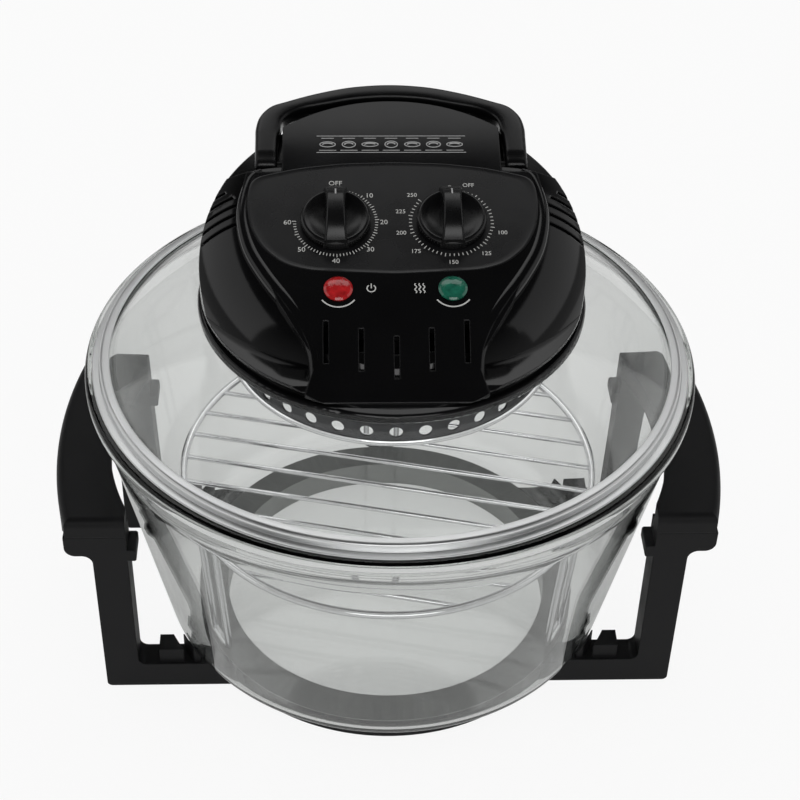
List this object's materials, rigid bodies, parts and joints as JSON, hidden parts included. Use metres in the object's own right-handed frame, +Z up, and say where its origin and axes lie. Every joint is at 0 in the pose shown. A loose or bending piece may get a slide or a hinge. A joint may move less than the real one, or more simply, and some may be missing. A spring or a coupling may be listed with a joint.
{
  "type": "halogen oven",
  "caption": "Round glass bowl on a black open stand with side handles, glass lift-off lid with a domed control head, wire rack and folding carry handle.",
  "frame": {"origin": "on the table, under the centre of the bowl", "axes": "+Z up, -Y towards the front with the dials, +X to the right as seen from the front"},
  "size_m": [0.381, 0.3394, 0.3104],
  "materials": {
    "satin_black": "satin",
    "rubber_black": "matte",
    "screw_steel": "satin",
    "bowl_glass": "gloss",
    "lid_glass": "gloss",
    "chrome_wire": "polished",
    "rim_steel": "polished",
    "silicone": "matte",
    "casing_black": "gloss",
    "fascia_black": "gloss",
    "knob_black": "gloss",
    "handle_black": "gloss",
    "base_plastic": "satin",
    "shield_steel": "polished",
    "bead_chrome": "polished",
    "lamp_quartz": "frosted",
    "ceramic_white": "matte",
    "stator_steel": "satin",
    "coil_copper": "satin",
    "bracket_zinc": "satin",
    "brass_parts": "satin",
    "unit_cream": "satin",
    "fan_aluminium": "satin",
    "lens_red": "gloss",
    "lens_green": "gloss",
    "bulb_glass": "gloss"
  },
  "bodies": {
    "stand": {"base_ring": "satin_black", "front_left_leg": "satin_black", "front_right_leg": "satin_black", "rear_left_leg": "satin_black", "rear_right_leg": "satin_black", "left_grip": "satin_black", "right_grip": "satin_black", "rubber_feet": "rubber_black", "grip_screws": "screw_steel"},
    "bowl": {"glass_bowl": "bowl_glass"},
    "rack": {"rack_grid": "chrome_wire", "rack_legs": "chrome_wire"},
    "lid": {"lid_glass": "lid_glass", "lid_rim": "rim_steel", "rim_seal": "rubber_black", "lower_gasket": "silicone", "upper_gasket": "silicone", "head_base": "base_plastic", "head_casing": "casing_black", "control_fascia": "fascia_black", "cord_gland": "rubber_black", "casing_screws": "screw_steel", "heat_shield": "shield_steel", "shield_bead": "bead_chrome", "guard_grille": "chrome_wire", "halogen_lamp": "lamp_quartz", "lamp_caps": "ceramic_white", "lamp_clips": "bracket_zinc", "shield_screws": "screw_steel", "motor_stator": "stator_steel", "motor_coil": "coil_copper", "lower_bracket": "bracket_zinc", "upper_bracket": "bracket_zinc", "motor_bearings": "brass_parts", "timer_unit": "unit_cream", "thermostat": "unit_cream", "power_lens": "lens_red", "heat_lens": "lens_green", "indicator_bulbs": "bulb_glass", "safety_switch": "unit_cream", "terminal_block": "unit_cream", "thermal_cutout": "unit_cream", "pivot_pins": "screw_steel"},
    "carry_handle_body": {"carry_handle": "handle_black"},
    "plunger": {"switch_plunger": "unit_cream"},
    "timer_dial": {"time_knob": "knob_black", "timer_spindle": "brass_parts"},
    "heat_dial": {"heat_knob": "knob_black", "thermostat_spindle": "brass_parts"},
    "fan": {"motor_shaft": "screw_steel", "rotor_core": "stator_steel", "cooling_fan": "fan_aluminium", "hot_air_fan": "fan_aluminium", "fan_nut": "brass_parts"}
  },
  "joints": [
    {"name": "bowl_lift", "type": "slide", "parent": "stand", "child": "bowl", "axis": [0, 0, 1], "range_m": [0, 0.14]},
    {"name": "lid_lift", "type": "slide", "parent": "bowl", "child": "lid", "axis": [0, 0, 1], "range_m": [0, 0.28]},
    {"name": "rack_lift", "type": "slide", "parent": "bowl", "child": "rack", "axis": [0, 0, 1], "range_m": [0, 0.168]},
    {"name": "handle_fold", "type": "hinge", "parent": "lid", "child": "carry_handle_body", "pos_m": [0, 0.04217, 0.28868], "axis": [1, 0, 0], "range_deg": [0, 75]},
    {"name": "switch_push", "type": "slide", "parent": "lid", "child": "plunger", "axis": [0, -0.299, 0.9542], "range_m": [0, 0.0015]},
    {"name": "timer_turn", "type": "hinge", "parent": "lid", "child": "timer_dial", "pos_m": [-0.0305, -0.00248, 0.28202], "axis": [0, 0.299, -0.9542], "range_deg": [0, 270]},
    {"name": "heat_turn", "type": "hinge", "parent": "lid", "child": "heat_dial", "pos_m": [0.0305, -0.00248, 0.28202], "axis": [0, 0.299, -0.9542], "range_deg": [0, 310]},
    {"name": "fan_spin", "type": "hinge", "parent": "lid", "child": "fan", "pos_m": [0, 0, 0.215], "axis": [0, 0, 1], "continuous": true}
  ],
  "couplings": [
    {"joint": "rack_lift", "follows": "lid_lift", "ratio": 0.6},
    {"joint": "switch_push", "follows": "handle_fold", "m_per_rad": 0.0011459}
  ]
}
